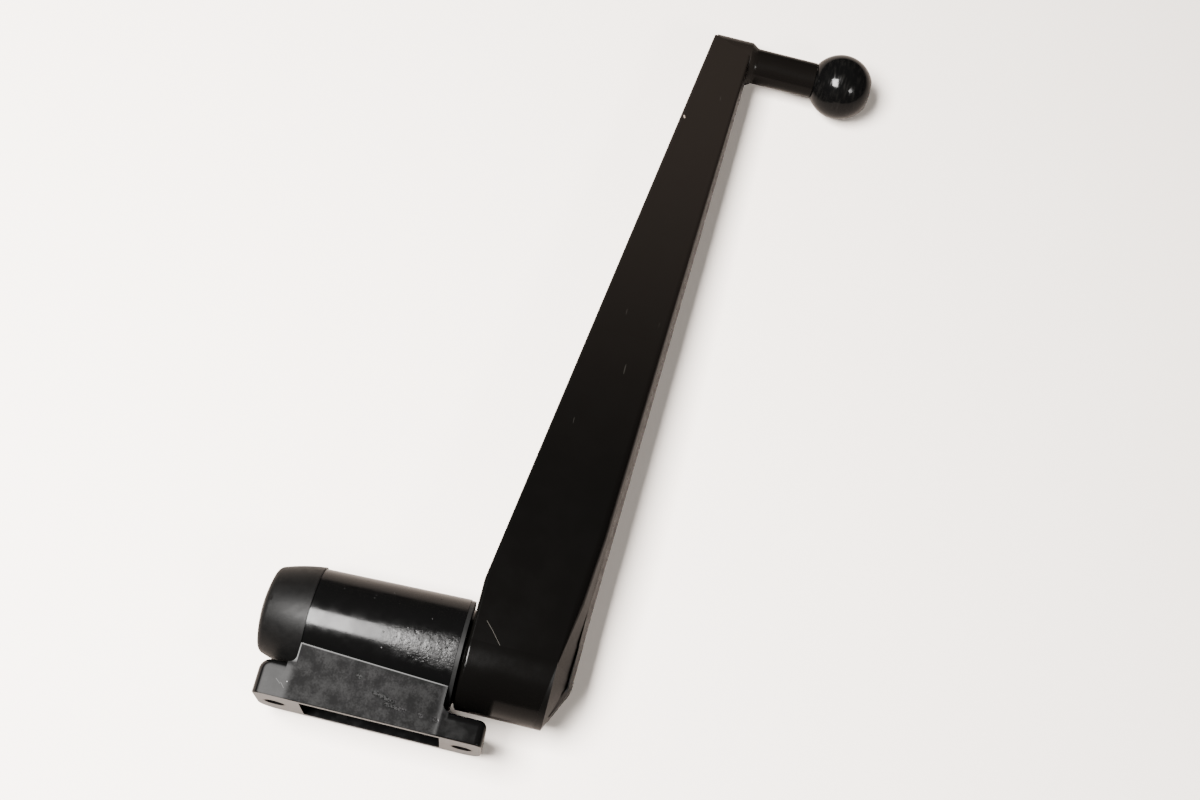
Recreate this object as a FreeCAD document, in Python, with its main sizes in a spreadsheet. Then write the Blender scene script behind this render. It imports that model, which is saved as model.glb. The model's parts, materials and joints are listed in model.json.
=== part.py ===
import FreeCAD, Part
import math
import os
import re
import Sketcher
from FreeCAD import Placement, Rotation, Vector

# Crank operator: a cast housing on a two-hole foot carries a spindle, a tapered crank arm turns on it,
# and a ball knob spins on the arm's neck.
# Frame: origin on the mounting face, midway between the two tapped holes. The mounting face is the
# plane Y = 0 and faces -Y. The spindle lies along X at Y = axis_height, the arm stands up along +Y.

DIMENSIONS = {
    # foot and web of the housing
    "foot_length": 96.8,
    "foot_depth": 34.6,
    "foot_edge_round": 0.8,
    "left_ear_height": 15.2,
    "left_ear_round": 5.5,
    "left_ear_edge": 4.8,
    "right_ear_height": 10.7,
    "right_ear_round": 3.5,
    "right_ear_edge": 3.0,
    "back_corner_round": 8.0,
    "hole_spacing": 80.0,
    "hole_core": 8.5,
    "hole_depth": 10.0,
    "recess_centre": 1.0,
    "recess_length": 59.0,
    "recess_depth": 8.0,
    "foot_wall": 3.5,
    "slot_length": 25.0,
    "slot_width": 22.0,
    "slot_depth": 35.5,
    "web_left": -34.0,
    "web_right": 28.9,
    "web_flare": 3.0,
    "scoop_gap": 0.5,
    # barrel
    "axis_height": 37.5,
    "barrel_left": -34.0,
    "barrel_right": 29.0,
    "barrel_small": 22.0,
    "barrel_large": 24.0,
    "cap_bore": 18.5,
    "left_seat": 17.0,
    "chamber": 16.6,
    "right_seat": 13.0,
    "cap_bore_end": -25.0,
    "left_bush_end": -24.0,
    "left_seat_end": -14.0,
    "chamber_end": 14.0,
    # end cap and its sealing ring
    "cap_rim": 22.6,
    "cap_nose": 18.1,
    "cap_nose_at": -53.0,
    "cap_crown_at": -55.9,
    "cap_nose_round": 3.6,
    "cap_bulge_centre": -25.5,
    "cap_inside": 16.5,
    "cap_inside_end": -50.6,
    "cap_inside_bevel": 3.5,
    "spigot_end": -27.4,
    "ring_left": -31.6,
    "ring_right": -29.8,
    "ring_section": 1.5,
    # clearances
    "running_gap": 0.04,
    "seat_gap": 0.02,
    "face_gap": 0.1,
    "loose_gap": 0.3,
    "overcut": 1.0,
    # spindle
    "journal": 10.0,
    "thread": 8.0,
    "tail": 9.0,
    "spindle_left": -43.0,
    "spindle_shoulder": 33.0,
    "spindle_right": 60.6,
    "thread_end": -28.4,
    "end_chamfer": 1.0,
    # friction stack at the spindle's left end
    "disc_thick": 2.1,
    "friction_outer": 16.8,
    "pressure_outer": 15.8,
    "spring_count": 4,
    "spring_pitch": 1.15,
    "spring_thick": 0.4,
    "spring_cone": 0.7,
    "spring_outer": 14.8,
    "nut_face": -33.2,
    "nut_thick": 6.0,
    "nut_flats": 24.0,
    # pinion, keys and clips
    "pinion_half": 12.0,
    "pinion_root": 12.6,
    "pinion_outer": 15.0,
    "tooth_foot": 3.2,
    "tooth_top": 1.3,
    "tooth_sink": 0.6,
    "teeth": 18,
    "clip_thick": 1.2,
    "clip_groove": 9.3,
    "clip_outer": 12.0,
    "key_width": 5.0,
    "key_sink": 3.0,
    "key_length": 20.0,
    "arm_key_at": 46.0,
    # thrust washer between housing and hub
    "washer_outer": 23.6,
    "washer_thick": 1.9,
    # hub of the arm
    "hub_left": 32.3,
    "hub_face": 31.2,
    "hub_face_radius": 20.0,
    "hub_radius": 22.5,
    "hub_edge_round": 1.5,
    "hub_crease": 70.3,
    "hub_crown": 77.9,
    "hub_web_left": 61.0,
    "hub_web_right": 64.0,
    # hub bolt and its washer
    "bolt_radius": 4.0,
    "bolt_hole": 4.5,
    "bolt_length": 22.0,
    "bolt_head": 6.5,
    "bolt_head_height": 8.0,
    "head_bore": 7.0,
    "bolt_socket": 6.0,
    "bolt_socket_depth": 4.0,
    "hub_washer_thick": 1.6,
    # blade of the arm
    "arm_length": 326.0,
    "blade_kink": 30.0,
    "blade_shoulder": 60.0,
    "blade_end": 336.0,
    "tip_left": 74.6,
    "kink_crease": 74.7,
    "shoulder_crease": 77.9,
    "tip_crease": 94.0,
    "tip_half": 11.0,
    "slant_high": 7.0,
    "slant_low": 5.0,
    "slant_room": 5.0,
    "outer_face": 78.6,
    "outer_slope": 0.0495,
    "ridge_half": 5.5,
    "edge_round": 1.6,
    "root_inset": 0.1,
    "root_reach": 0.3,
    "shoulder_reach": 3.0,
    "tip_reach": 0.9,
    "arm_wall": 5.0,
    "cell_half": 5.6,
    "first_rib": 21.0,
    "rib_pitch": 92.0,
    "rib_half": 5.0,
    # tip boss and neck
    "boss_radius": 10.9,
    "boss_left": 75.5,
    "boss_right": 94.0,
    "neck_radius": 8.75,
    "neck_start": 97.4,
    "neck_blend": 3.0,
    # arm cover
    "cover_low": -17.5,
    "cover_corner": -4.0,
    "cover_high": 309.0,
    "cover_low_depth": 0.8,
    "cover_depth": 2.0,
    "cover_tip_depth": 1.0,
    "cover_low_slope": 0.9,
    "cover_corner_slope": 0.55,
    "cover_corner_rise": 0.4,
    "cover_gap": 0.12,
    "notch_low": -6.3,
    "notch_high": 13.9,
    "notch_half": 0.8,
    "notch_lean": 0.4,
    "notch_reach": 5.0,
    "screw_radius": 1.25,
    "screw_head": 2.3,
    "screw_head_depth": 0.9,
    "screw_gap": 0.3,
    "screw_length": 8.0,
    # ball knob
    "ball_centre": 141.6,
    "ball_radius": 16.0,
    "ball_left": -13.7,
    "ball_right": 14.3,
    "neck_gap": 0.25,
    "bush_outer": 5.5,
    "bush_end": 6.0,
    "pin_radius": 4.0,
    "pin_thread": 3.0,
    "pin_thread_length": 15.0,
    "pin_head": 5.5,
    "pin_head_height": 4.5,
    "pin_socket": 5.0,
    "pin_socket_depth": 2.5,
    "knob_washer_thick": 1.0,
    "plug_radius": 6.3,
    "plug_thick": 2.2,
}

# The arm lies slightly below the mounting plane's normal, so that knob and barrel rest on one plane.
REST_ANGLE = -1.43

# One cover screw in each rib of the arm, and a hollow cell between each two ribs.
SCREWS = 4

doc = FreeCAD.newDocument("CrankOperator")
sheet = doc.addObject("Spreadsheet::Sheet", "Dims")
for row, (alias, amount) in enumerate(DIMENSIONS.items(), start=1):
    sheet.set("A%d" % row, alias)
    sheet.set("B%d" % row, repr(amount))
    sheet.setAlias("B%d" % row, alias)
doc.recompute()


# ---------------------------------------------------------------- helpers

def linked(expression):
    """Prefix each sheet alias in an expression, so that other objects can use it."""
    def prefix(match):
        word = match.group()
        return "Dims." + word if word in DIMENSIONS else word
    return re.sub(r"[a-z_]\w*", prefix, str(expression))


def size(expression):
    """Present value of an expression of sheet aliases."""
    return float(sheet.evalExpression(linked(expression)))


def bind(feature, prop, expression):
    feature.setExpression(prop, linked(expression))


def new_body(name, placement=None):
    body = doc.addObject("PartDesign::Body", name)
    body.Label = name
    if placement is not None:
        body.Placement = placement
    return body


def origin_feature(body, role):
    return [item for item in body.Origin.OriginFeatures if item.Role == role][0]


def new_sketch(body, role, name, offset=None):
    """Sketch on one of the body's own origin planes; offset maps a placement property to an expression."""
    sketch = body.newObject("Sketcher::SketchObject", name)
    sketch.AttachmentSupport = [(origin_feature(body, role), "")]
    sketch.MapMode = "FlatFace"
    for prop, expression in (offset or {}).items():
        bind(sketch, "AttachmentOffset.Base." + prop, expression)
    return sketch


def place_point(sketch, index, position, point):
    """Tie one end of a sketch element to the sheet, by its distances from the sketch's origin."""
    for kind, expression in zip(("DistanceX", "DistanceY"), point):
        value = size(expression)
        number = sketch.addConstraint(Sketcher.Constraint(kind, -1, 1, index, position, value))
        bind(sketch, "Constraints[%d]" % number, expression)


def add_loop(sketch, points, arcs=None):
    """Closed outline through points. A side whose number is in arcs is round, and its entry fixes one
    coordinate of the arc's centre, such as ("y", "0")."""
    arcs = arcs or {}
    first = sketch.GeometryCount
    count = len(points)
    corners = [Vector(size(x), size(y), 0) for x, y in points]
    ends = []
    for side, start in enumerate(corners):
        end = corners[(side + 1) % count]
        if side in arcs:
            sketch.addGeometry(short_arc(start, end, arcs[side]))
            ends.append((1, 2) if turns_left(start, end, arcs[side]) else (2, 1))
        else:
            sketch.addGeometry(Part.LineSegment(start, end))
            ends.append((1, 2))
    for side in range(count):
        ahead = (side + 1) % count
        joint = (first + side, ends[side][1], first + ahead, ends[ahead][0])
        sketch.addConstraint(Sketcher.Constraint("Coincident", *joint))
    for side, point in enumerate(points):
        place_point(sketch, first + side, ends[side][0], point)
    for side, (coordinate, expression) in arcs.items():
        kind = "Distance" + coordinate.upper()
        constraint = Sketcher.Constraint(kind, -1, 1, first + side, 3, size(expression))
        number = sketch.addConstraint(constraint)
        bind(sketch, "Constraints[%d]" % number, expression)


def arc_centre(start, end, fixed):
    """Point as far from start as from end, with one coordinate fixed."""
    coordinate, expression = fixed
    known = size(expression)
    run = end - start
    level = (end.x ** 2 + end.y ** 2 - start.x ** 2 - start.y ** 2) / 2
    if coordinate == "y":
        return Vector((level - known * run.y) / run.x, known, 0)
    return Vector(known, (level - known * run.x) / run.y, 0)


def turns_left(start, end, fixed):
    centre = arc_centre(start, end, fixed)
    return (start - centre).cross(end - centre).z > 0


def short_arc(start, end, fixed):
    centre = arc_centre(start, end, fixed)
    low, high = (start, end) if turns_left(start, end, fixed) else (end, start)
    angles = [math.atan2(point.y - centre.y, point.x - centre.x) for point in (low, high)]
    if angles[1] < angles[0]:
        angles[1] += 2 * math.pi
    circle = Part.Circle(centre, Vector(0, 0, 1), (start - centre).Length)
    return Part.ArcOfCircle(circle, *angles)


def add_circle(sketch, centre, radius):
    circle = Part.Circle(Vector(size(centre[0]), size(centre[1]), 0), Vector(0, 0, 1), size(radius))
    index = sketch.addGeometry(circle)
    number = sketch.addConstraint(Sketcher.Constraint("Radius", index, size(radius)))
    bind(sketch, "Constraints[%d]" % number, radius)
    place_point(sketch, index, 3, centre)


def rectangle(x_low, x_high, y_low, y_high):
    return [(x_low, y_low), (x_high, y_low), (x_high, y_high), (x_low, y_high)]


def turned(body, name, points, arcs=None, cut=False, offset=None):
    """Revolve or groove an outline of (x, radius) points about the sketch's X axis."""
    sketch = new_sketch(body, "XY_Plane", name + "_profile", offset)
    add_loop(sketch, points, arcs)
    kind = "PartDesign::Groove" if cut else "PartDesign::Revolution"
    before = body.Shape.Volume if cut else 0
    feature = body.newObject(kind, name)
    feature.Profile = sketch
    feature.ReferenceAxis = (sketch, ["H_Axis"])
    feature.Angle = 360
    finish_feature(feature, before if cut else None)
    return feature


def padded(body, name, sketch, length, symmetric=False, back=False, cut=False):
    """Pad or pocket of one sketch."""
    before = body.Shape.Volume if cut else 0
    feature = body.newObject("PartDesign::Pocket" if cut else "PartDesign::Pad", name)
    feature.Profile = sketch
    bind(feature, "Length", length)
    feature.Midplane = symmetric
    feature.Reversed = back
    finish_feature(feature, before if cut else None)
    return feature


def finish_feature(feature, volume_before=None):
    """Recompute, and stop where a cut has removed nothing."""
    doc.recompute()
    if volume_before is not None and feature.Shape.Volume > volume_before - 0.001:
        raise RuntimeError(feature.Name + " cuts nothing")


def lofted(body, name, sections, cut=False):
    """Straight-sided loft between sketches."""
    before = body.Shape.Volume if cut else 0
    kind = "PartDesign::SubtractiveLoft" if cut else "PartDesign::AdditiveLoft"
    feature = body.newObject(kind, name)
    feature.Profile = sections[0]
    feature.Sections = sections[1:]
    feature.Ruled = True
    finish_feature(feature, before if cut else None)
    return feature


def section(body, name, distance, points, arcs=None):
    """Outline in X and Z at a distance along +Y."""
    sketch = new_sketch(body, "XZ_Plane", name, {"z": "-(%s)" % distance})
    add_loop(sketch, points, arcs)
    return sketch


def edge_names(shape, test):
    """Names of the edges that pass a test on their two end points."""
    names = []
    for number, edge in enumerate(shape.Edges, start=1):
        ends = [vertex.Point for vertex in edge.Vertexes]
        if test(ends[0], ends[-1], edge):
            names.append("Edge%d" % number)
    return names


def dressed(body, kind, name, amount, test):
    """Fillet or chamfer the edges of the body's tip that pass a test."""
    base = body.Tip
    names = edge_names(base.Shape, test)
    if not names:
        raise RuntimeError(name + " finds no edge")
    feature = body.newObject("PartDesign::" + kind, name)
    feature.Base = (base, names)
    bind(feature, "Radius" if kind == "Fillet" else "Size", amount)
    doc.recompute()
    return feature


def near(one, other, tolerance=0.02):
    return abs(one - other) < tolerance


def ring(name, x_low, x_high, inner, outer, placement):
    """Plain ring about the placement's X axis."""
    body = new_body(name, placement)
    turned(body, name + "_turned", rectangle(x_low, x_high, inner, outer))
    return body


def hex_points(across_flats):
    """Corners of a hexagon about the origin."""
    radius = "%s / sqrt(3)" % across_flats
    return [("(%s) * cos(%d)" % (radius, 60 * corner), "(%s) * sin(%d)" % (radius, 60 * corner))
            for corner in range(6)]


def lies_at(edge_ends, axis, value):
    """Whether both ends of an edge have this value of x, y or z."""
    return all(near(getattr(point, axis), value) for point in edge_ends)


def circle_radius(edge):
    return getattr(edge.Curve, "Radius", 0)


# ---------------------------------------------------------------- housing side

def make_foot(body):
    """Two-eared foot: the left ear is the taller one."""
    for side, sign in (("right", ""), ("left", "-")):
        outline = new_sketch(body, "XZ_Plane", side + "_ear_outline")
        end = sign + "foot_length / 2"
        points = rectangle(end, "0", "-foot_depth / 2", "foot_depth / 2")
        add_loop(outline, points if sign else points[::-1])
        padded(body, side + "_ear", outline, side + "_ear_height", back=True)
        end_x = size(end)
        corners = (("front", side + "_ear_round", True), ("back", "back_corner_round", False))
        for name, amount, front in corners:
            dressed(body, "Fillet", "%s_%s_corner" % (side, name), amount,
                    lambda a, b, edge: lies_at((a, b), "x", end_x) and near(a.z, b.z) and (a.z > 0) == front)
        top = size(side + "_ear_height")
        dressed(body, "Fillet", side + "_ear_top", side + "_ear_edge",
                lambda a, b, edge: lies_at((a, b), "y", top) and near(abs(a.x), abs(end_x))
                and near(a.x, b.x))


def make_housing():
    body = new_body("housing")
    make_foot(body)
    web = new_sketch(body, "XY_Plane", "web_outline")
    add_loop(web, [
        ("web_left - web_flare", "0"), ("web_right + web_flare", "0"),
        ("web_right + web_flare", "right_ear_height"), ("web_right", "right_ear_height + web_flare"),
        ("web_right", "axis_height"), ("web_left", "axis_height"),
        ("web_left", "left_ear_height + web_flare"), ("web_left - web_flare", "left_ear_height")],
        arcs={2: ("y", "right_ear_height + web_flare"), 6: ("y", "left_ear_height + web_flare")})
    padded(body, "web", web, "foot_depth", symmetric=True)
    front_z = size("foot_depth / 2")
    dressed(body, "Fillet", "foot_front_edge", "foot_edge_round",
            lambda a, b, edge: lies_at((a, b), "z", front_z) and lies_at((a, b), "y", 0))

    at_axis = {"y": "axis_height"}
    turned(body, "barrel", [("barrel_left", "0"), ("barrel_right", "0"),
                            ("barrel_right", "barrel_large"), ("barrel_left", "barrel_small")],
           offset=at_axis)
    turned(body, "bores", [
        ("barrel_left - overcut", "0"), ("barrel_right + overcut", "0"),
        ("barrel_right + overcut", "right_seat"), ("chamber_end", "right_seat"),
        ("chamber_end", "chamber"), ("left_seat_end", "chamber"),
        ("left_seat_end", "left_seat"), ("cap_bore_end", "left_seat"),
        ("cap_bore_end", "cap_bore"), ("barrel_left - overcut", "cap_bore")], cut=True, offset=at_axis)
    turned(body, "ear_scoop", rectangle("-foot_length / 2", "barrel_left", "0", "cap_rim + scoop_gap"),
           cut=True, offset=at_axis)

    recess = new_sketch(body, "XZ_Plane", "recess_outline")
    add_loop(recess, rectangle("recess_centre - recess_length / 2", "recess_centre + recess_length / 2",
                               "foot_wall - foot_depth / 2", "foot_depth / 2 - foot_wall"))
    padded(body, "recess", recess, "recess_depth", cut=True)
    slot = new_sketch(body, "XZ_Plane", "slot_outline")
    add_loop(slot, rectangle("-slot_length / 2", "slot_length / 2", "-slot_width / 2", "slot_width / 2"))
    padded(body, "drive_slot", slot, "slot_depth", cut=True)

    holes = new_sketch(body, "XZ_Plane", "hole_circles")
    for side in ("-", ""):
        add_circle(holes, (side + "hole_spacing / 2", "0"), "hole_core / 2")
    padded(body, "mounting_holes", holes, "hole_depth", cut=True)
    return body


def make_end_cap(placement):
    body = new_body("end_cap", placement)
    rim = "barrel_left - face_gap"
    spigot = "cap_bore - face_gap"
    turned(body, "cap_shell", [
        ("spigot_end", "cap_inside"), ("spigot_end", spigot), (rim, spigot), (rim, "cap_rim"),
        ("cap_nose_at", "cap_nose"), ("cap_crown_at", "0"), ("cap_inside_end", "0"),
        ("cap_inside_end", "cap_inside - cap_inside_bevel"),
        ("cap_inside_end + cap_inside_bevel", "cap_inside")],
        arcs={3: ("x", "cap_bulge_centre"), 4: ("y", "0")})
    nose = size("cap_nose_at")
    dressed(body, "Fillet", "nose_round", "cap_nose_round",
            lambda a, b, edge: lies_at((a, b), "x", nose))
    turned(body, "ring_groove",
           rectangle("ring_left", "ring_right", "cap_bore - face_gap - ring_section", "cap_bore + overcut"),
           cut=True)
    return body


def make_cap_ring(placement):
    """Sealing ring in the cap's groove."""
    inner = "cap_bore - face_gap - ring_section + seat_gap"
    return ring("cap_o_ring", "ring_left + face_gap", "ring_right - face_gap", inner,
                "cap_bore - seat_gap", placement)


def make_housing_rings(placement):
    """Both spindle bushes, the thrust washer and the friction disc."""
    bore = "journal + running_gap"
    ring("left_bush", "left_bush_end", "left_seat_end", bore, "left_seat", placement)
    ring("right_bush", "chamber_end", "barrel_right - face_gap", bore, "right_seat", placement)
    ring("thrust_washer", "barrel_right", "barrel_right + washer_thick",
         "journal + loose_gap", "washer_outer", placement)
    ring("friction_disc", "left_bush_end - face_gap - disc_thick", "left_bush_end - face_gap",
         "journal + loose_gap", "friction_outer", placement)


# ---------------------------------------------------------------- spindle and drive

def make_spindle(placement):
    body = new_body("spindle", placement)
    turned(body, "shaft", [
        ("spindle_left", "0"), ("spindle_right", "0"), ("spindle_right", "tail"),
        ("spindle_shoulder", "tail"), ("spindle_shoulder", "journal"),
        ("thread_end", "journal"), ("thread_end", "thread"), ("spindle_left", "thread")])
    low = "pinion_half + face_gap"
    high = "pinion_half + 2 * face_gap + clip_thick"
    for name, left, right in (("right", low, high), ("left", "-(%s)" % high, "-(%s)" % low)):
        groove = rectangle(left, right, "clip_groove", "journal + overcut")
        turned(body, "clip_groove_" + name, groove, cut=True)
    turned(body, "bolt_thread",
           rectangle("spindle_right - bolt_length", "spindle_right + overcut", "0", "bolt_radius + seat_gap"),
           cut=True)
    for name, centre, radius in (("pinion", "0", "journal"), ("arm", "arm_key_at", "tail")):
        sketch = new_sketch(body, "XY_Plane", name + "_keyway_outline")
        outline = rectangle("%s - key_length / 2" % centre, "%s + key_length / 2" % centre,
                            radius + " - key_sink", "journal + overcut")
        add_loop(sketch, outline)
        padded(body, name + "_keyway", sketch, "key_width", symmetric=True, cut=True)
    ends = (size("spindle_left"), size("spindle_right"))
    bolt = size("bolt_radius + overcut")
    dressed(body, "Chamfer", "end_chamfers", "end_chamfer",
            lambda a, b, edge: any(lies_at((a, b), "x", x) for x in ends) and circle_radius(edge) > bolt)
    return body


def make_key(name, centre, radius, placement):
    """Parallel key, sunk in the shaft and standing into the bore."""
    body = new_body(name, placement)
    sketch = new_sketch(body, "XY_Plane", name + "_outline")
    base = radius + " - key_sink + seat_gap"
    outline = rectangle("%s - key_length / 2 + face_gap" % centre, "%s + key_length / 2 - face_gap" % centre,
                        base, base + " + key_width")
    add_loop(sketch, outline)
    padded(body, name + "_bar", sketch, "key_width - 2 * seat_gap", symmetric=True)
    return body


def cut_keyway(body, name, radius, length, offset=None, symmetric=False):
    """Keyway from the bore outward along +Y."""
    keyway = new_sketch(body, "YZ_Plane", name + "_outline", offset)
    add_loop(keyway, rectangle("0", radius + " - key_sink + key_width + face_gap",
                               "-key_width / 2 - seat_gap", "key_width / 2 + seat_gap"))
    padded(body, name, keyway, length, symmetric=symmetric, back=not symmetric, cut=True)


def make_pinion(placement):
    body = new_body("drive_pinion", placement)
    blank = new_sketch(body, "YZ_Plane", "blank_outline")
    add_circle(blank, ("0", "0"), "pinion_root")
    padded(body, "blank", blank, "2 * pinion_half", symmetric=True)
    tooth = new_sketch(body, "YZ_Plane", "tooth_outline")
    add_loop(tooth, [("pinion_root - tooth_sink", "-tooth_foot / 2"), ("pinion_outer", "-tooth_top / 2"),
                     ("pinion_outer", "tooth_top / 2"), ("pinion_root - tooth_sink", "tooth_foot / 2")])
    first = padded(body, "tooth", tooth, "2 * pinion_half", symmetric=True)
    ring_of_teeth = body.newObject("PartDesign::PolarPattern", "teeth")
    ring_of_teeth.Originals = [first]
    ring_of_teeth.Axis = (origin_feature(body, "X_Axis"), [""])
    ring_of_teeth.Angle = 360
    ring_of_teeth.Occurrences = round(size("teeth"))
    body.Tip = ring_of_teeth
    doc.recompute()
    bore = new_sketch(body, "YZ_Plane", "bore_outline")
    add_circle(bore, ("0", "0"), "journal + seat_gap")
    padded(body, "bore", bore, "4 * pinion_half", symmetric=True, cut=True)
    cut_keyway(body, "pinion_keyway", "journal", "4 * pinion_half", symmetric=True)
    return body


def make_circlips(placement):
    """Both retaining clips of the pinion."""
    body = new_body("pinion_circlips", placement)
    low = "pinion_half + face_gap * 1.5"
    high = low + " + clip_thick"
    for name, left, right in (("right_clip", low, high), ("left_clip", "-(%s)" % high, "-(%s)" % low)):
        turned(body, name, rectangle(left, right, "clip_groove + seat_gap", "clip_outer"))
    return body


def make_friction_parts(placement):
    """Pressure disc, coned spring washers and adjusting nut, all turning with the spindle."""
    right = "left_bush_end - 3 * face_gap - disc_thick"
    ring("pressure_disc", right + " - disc_thick", right, "journal + seat_gap", "pressure_outer", placement)

    springs = new_body("disc_springs", placement)
    for number in range(round(size("spring_count"))):
        face = right + " - disc_thick - face_gap - %d * spring_pitch" % number
        inner, outer = (face, face + " - spring_cone") if number % 2 == 0 else (face + " - spring_cone", face)
        turned(springs, "spring_%d" % (number + 1), [
            (inner, "thread + loose_gap"), (outer, "spring_outer"),
            (outer + " - spring_thick", "spring_outer"), (inner + " - spring_thick", "thread + loose_gap")])

    nut = new_body("brake_nut", placement)
    outline = new_sketch(nut, "YZ_Plane", "nut_outline", {"z": "nut_face"})
    add_loop(outline, hex_points("nut_flats"))
    add_circle(outline, ("0", "0"), "thread + seat_gap")
    padded(nut, "nut", outline, "nut_thick", back=True)


# ---------------------------------------------------------------- arm

def outer_x(distance):
    """X of the arm's outer side at a distance along the arm."""
    return "(outer_face + outer_slope * (%s))" % distance


def left_x(distance):
    """X of the blade's sloping inner side at a distance along the arm."""
    return "(hub_left + (tip_left - hub_left) * ((%s) - blade_kink) / (blade_end - blade_kink))" % distance


def half_at(distance):
    """Half thickness of the blade at a distance along the arm."""
    return "(hub_radius - root_inset - (hub_radius - root_inset - tip_half) * (%s) / blade_end)" % distance


def blade_section(body, name, distance, left, crease, ridge, rounding):
    """Outline of the blade across the arm: flat inner side, bevelled outer side with a flat ridge.
    rounding gives the radius of the inner edges and how far the crease's rounding reaches."""
    half = half_at(distance)
    ridge_x, ridge_z = ridge
    radius, reach = rounding
    bevel_length = "sqrt((%s - %s) ^ 2 + (%s - %s) ^ 2)" % (ridge_x, crease, half, ridge_z)
    along = "%s / %s" % (reach, bevel_length)
    on_bevel = ("%s + (%s - %s) * %s" % (crease, ridge_x, crease, along),
                "%s - (%s - %s) * %s" % (half, half, ridge_z, along))
    crease_start = "%s - %s" % (crease, reach)
    edge_start = "%s + %s" % (left, radius)
    front = [(ridge_x, ridge_z), on_bevel, (crease_start, half), (edge_start, half),
             (left, "%s - %s" % (half, radius))]
    back = [(x, "-(%s)" % z) for x, z in front[::-1]]
    arcs = {1: ("x", crease_start), 3: ("x", edge_start), 5: ("x", edge_start), 7: ("x", crease_start)}
    return section(body, name, distance, front + back, arcs)


def crease_x(distance):
    """X of the crease between the blade's flat sides and its bevels, above the shoulder."""
    rise = "(tip_crease - shoulder_crease) / (blade_end - blade_shoulder)"
    return "(shoulder_crease + %s * (%s - blade_shoulder))" % (rise, distance)


def make_blade(body):
    """Straight-sided blade through four outlines, with a slanted end behind the tip boss."""
    stations = [("root", "0", "hub_left", "hub_crease - root_inset", "(hub_crown - root_inset)",
                 ("hub_edge_round", "root_reach")),
                ("kink", "blade_kink", "hub_left", "kink_crease", outer_x("blade_kink"),
                 ("edge_round", "shoulder_reach")),
                ("shoulder", "blade_shoulder", left_x("blade_shoulder"), "shoulder_crease",
                 outer_x("blade_shoulder"), ("edge_round", "shoulder_reach")),
                ("tip", "blade_end", "tip_left", "tip_crease", outer_x("blade_end"),
                 ("edge_round", "tip_reach"))]
    outlines = [blade_section(body, "blade_" + name, distance, left, crease, (ridge, "ridge_half"), rounding)
                for name, distance, left, crease, ridge, rounding in stations]
    lofted(body, "blade", outlines)
    end = new_sketch(body, "XY_Plane", "slanted_end_outline")
    near_x = "tip_left - slant_room"
    far_x = "tip_crease + slant_room"
    add_loop(end, [(near_x, "arm_length + slant_high"), (far_x, "arm_length - slant_low"),
                   (far_x, "blade_end + slant_room"), (near_x, "blade_end + slant_room")])
    padded(body, "slanted_end", end, "4 * tip_half", symmetric=True, cut=True)


def make_crank_arm(placement):
    body = new_body("crank_arm", placement)
    make_blade(body)
    turned(body, "hub", [
        ("hub_face", "0"), ("hub_crown", "0"), ("hub_crown", "ridge_half"),
        ("hub_crease", "hub_radius"), ("hub_left + hub_edge_round", "hub_radius"),
        ("hub_left", "hub_radius - hub_edge_round"), ("hub_left", "hub_face_radius"),
        ("hub_face", "hub_face_radius")], arcs={4: ("x", "hub_left + hub_edge_round")})
    tip_axis = {"y": "arm_length"}
    neck_end = "ball_centre + ball_left - neck_gap"
    turned(body, "tip_boss", [
        ("boss_left", "0"), (neck_end, "0"), (neck_end, "neck_radius"), ("neck_start", "neck_radius"),
        ("boss_right", "boss_radius"), ("boss_left", "boss_radius")], offset=tip_axis)
    neck_start = size("neck_start")
    dressed(body, "Fillet", "neck_blends", "neck_blend",
            lambda a, b, edge: lies_at((a, b), "x", neck_start))

    turned(body, "hub_bore", [
        ("hub_face - overcut", "0"), ("hub_crown + overcut", "0"), ("hub_crown + overcut", "head_bore"),
        ("hub_web_right", "head_bore"), ("hub_web_right", "bolt_hole"),
        ("hub_web_left", "bolt_hole"), ("hub_web_left", "tail + seat_gap"),
        ("spindle_shoulder + seat_gap", "tail + seat_gap"),
        ("spindle_shoulder + seat_gap", "journal + seat_gap"), ("hub_face - overcut", "journal + seat_gap")],
        cut=True)
    cut_keyway(body, "hub_keyway", "tail", "arm_key_at + key_length / 2 - hub_face + overcut + 2 * face_gap",
               offset={"z": "hub_face - overcut"})
    cut_cells(body)
    cut_cover_seat(body)
    turned(body, "pin_thread_hole",
           rectangle(neck_end + " - pin_thread_length - overcut", "ball_centre",
                     "0", "pin_thread + seat_gap"),
           cut=True, offset=tip_axis)
    return body


def cut_cells(body):
    """Hollow cells between the ribs, open under the cover."""
    for cell in range(SCREWS - 1):
        low = "first_rib + %d * rib_pitch + rib_half" % cell
        high = "first_rib + %d * rib_pitch - rib_half" % (cell + 1)
        ends = []
        for name, distance in (("low", low), ("high", high)):
            points = rectangle(left_x(distance) + " + arm_wall", outer_x(distance) + " + overcut",
                               "-cell_half", "cell_half")
            ends.append(section(body, "cell_%d_%s" % (cell + 1, name), distance, points))
        lofted(body, "cell_%d" % (cell + 1), ends, cut=True)


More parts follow.
